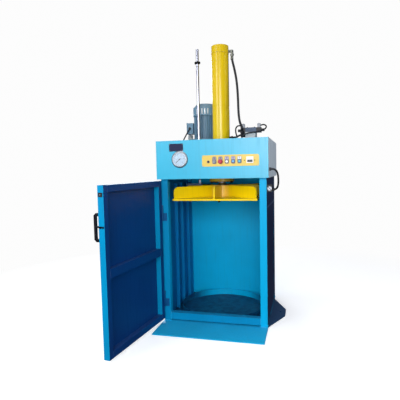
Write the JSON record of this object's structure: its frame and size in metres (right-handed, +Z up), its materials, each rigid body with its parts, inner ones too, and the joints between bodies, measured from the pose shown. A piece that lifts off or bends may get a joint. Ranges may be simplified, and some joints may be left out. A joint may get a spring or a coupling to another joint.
{
  "type": "hydraulic drum press",
  "caption": "Upright hydraulic press that flattens steel drums: cabinet with a hinged door, ribbed platen on an overhead cylinder, control head and pump set on top.",
  "frame": {"origin": "on the floor on the press axis", "axes": "+Z up along the press axis, -Y out of the front where the door is, +X to the right seen from the front"},
  "size_m": [1.1616, 1.6588, 2.335],
  "materials": {
    "blue_paint": "gloss",
    "navy_paint": "satin",
    "yellow_paint": "gloss",
    "chrome": "polished",
    "bright_steel": "satin",
    "grey_paint": "satin",
    "light_grey_paint": "satin",
    "black_rubber": "matte",
    "black_plastic": "matte",
    "black_paint": "satin",
    "pale_plate": "satin",
    "grey_plastic": "matte",
    "red_plastic": "gloss",
    "white_plastic": "gloss",
    "sky_plastic": "gloss",
    "cyan_plastic": "gloss"
  },
  "bodies": {
    "frame": {"base_plate": "blue_paint", "side_feet": "navy_paint", "posts": "blue_paint", "sill": "blue_paint", "side_wall_l": "blue_paint", "side_wall_r": "blue_paint", "back_wall": "blue_paint", "drip_ring": "blue_paint", "press_plate": "blue_paint", "head_front_panel": "blue_paint", "head_shell": "blue_paint", "top_plate": "blue_paint", "oil_tank": "grey_paint", "oil_filler": "light_grey_paint", "barrel": "yellow_paint", "cylinder_cap": "yellow_paint", "rod_gland": "bright_steel", "flange_bolts": "bright_steel", "guide_bush": "bright_steel", "bell_housing": "grey_paint", "motor_body": "grey_paint", "motor_cowl": "grey_paint", "terminal_box": "grey_paint", "pump": "bright_steel", "manifold": "light_grey_paint", "valve_body": "light_grey_paint", "solenoids": "black_plastic", "coil_plugs": "black_plastic", "hose_fittings": "bright_steel", "hose_main": "black_rubber", "hose_foot": "black_rubber", "power_cables": "black_rubber", "interlock_cable": "black_rubber", "cable_glands": "black_plastic", "post_hinges": "blue_paint", "gauge_case": "chrome", "control_plate": "pale_plate", "switch_bezels": "bright_steel", "counter": "white_plastic", "interlock": "black_plastic"},
    "ram": {"piston": "bright_steel", "piston_rod": "chrome", "platen": "yellow_paint", "guide_rod": "chrome", "guide_collar": "black_paint", "guide_lug": "light_grey_paint"},
    "door": {"door_frame": "blue_paint", "door_skin": "blue_paint", "door_hinges": "blue_paint", "door_handle": "black_paint", "edge_catch": "black_paint"},
    "latch": {"turn_latch": "black_paint"},
    "needle": {"gauge_needle": "black_paint"},
    "rotor": {"motor_rotor": "bright_steel"},
    "selector": {"selector_knob": "grey_plastic"},
    "stop": {"stop_button": "red_plastic"},
    "white_button": {"button_white": "white_plastic"},
    "sky_button": {"button_sky": "sky_plastic"},
    "cyan_button": {"button_cyan": "cyan_plastic"},
    "key": {"key_switch": "black_plastic"}
  },
  "joints": [
    {"name": "platen_slide", "type": "slide", "parent": "frame", "child": "ram", "axis": [0, 0, -1], "range_m": [0, 0.85]},
    {"name": "door_swing", "type": "hinge", "parent": "frame", "child": "door", "pos_m": [-0.424, -0.415, 0.6], "axis": [0, 0, 1], "range_deg": [-75, 97.2]},
    {"name": "latch_turn", "type": "hinge", "parent": "door", "child": "latch", "pos_m": [-0.54438, -1.22026, 0.912], "axis": [-0.1253, -0.9921, 0], "range_deg": [-90, 90]},
    {"name": "needle_turn", "type": "hinge", "parent": "frame", "child": "needle", "pos_m": [-0.251, -0.455, 1.352], "axis": [0, 1, 0], "range_deg": [0, 262]},
    {"name": "rotor_spin", "type": "hinge", "parent": "frame", "child": "rotor", "pos_m": [-0.195, 0.2, 1.6], "axis": [0, 0, 1], "continuous": true},
    {"name": "selector_turn", "type": "hinge", "parent": "frame", "child": "selector", "pos_m": [0.032, -0.455, 1.327], "axis": [0, 1, 0], "range_deg": [0, 60]},
    {"name": "key_turn", "type": "hinge", "parent": "frame", "child": "key", "pos_m": [-0.016, -0.455, 1.327], "axis": [0, 1, 0], "range_deg": [0, 90]},
    {"name": "stop_press", "type": "slide", "parent": "frame", "child": "stop", "axis": [0, 1, 0], "range_m": [0, 0.005], "stiffness_N_per_m": 2000},
    {"name": "white_press", "type": "slide", "parent": "frame", "child": "white_button", "axis": [0, 1, 0], "range_m": [0, 0.004], "stiffness_N_per_m": 1500},
    {"name": "sky_press", "type": "slide", "parent": "frame", "child": "sky_button", "axis": [0, 1, 0], "range_m": [0, 0.004], "stiffness_N_per_m": 1500},
    {"name": "cyan_press", "type": "slide", "parent": "frame", "child": "cyan_button", "axis": [0, 1, 0], "range_m": [0, 0.004], "stiffness_N_per_m": 1500}
  ]
}
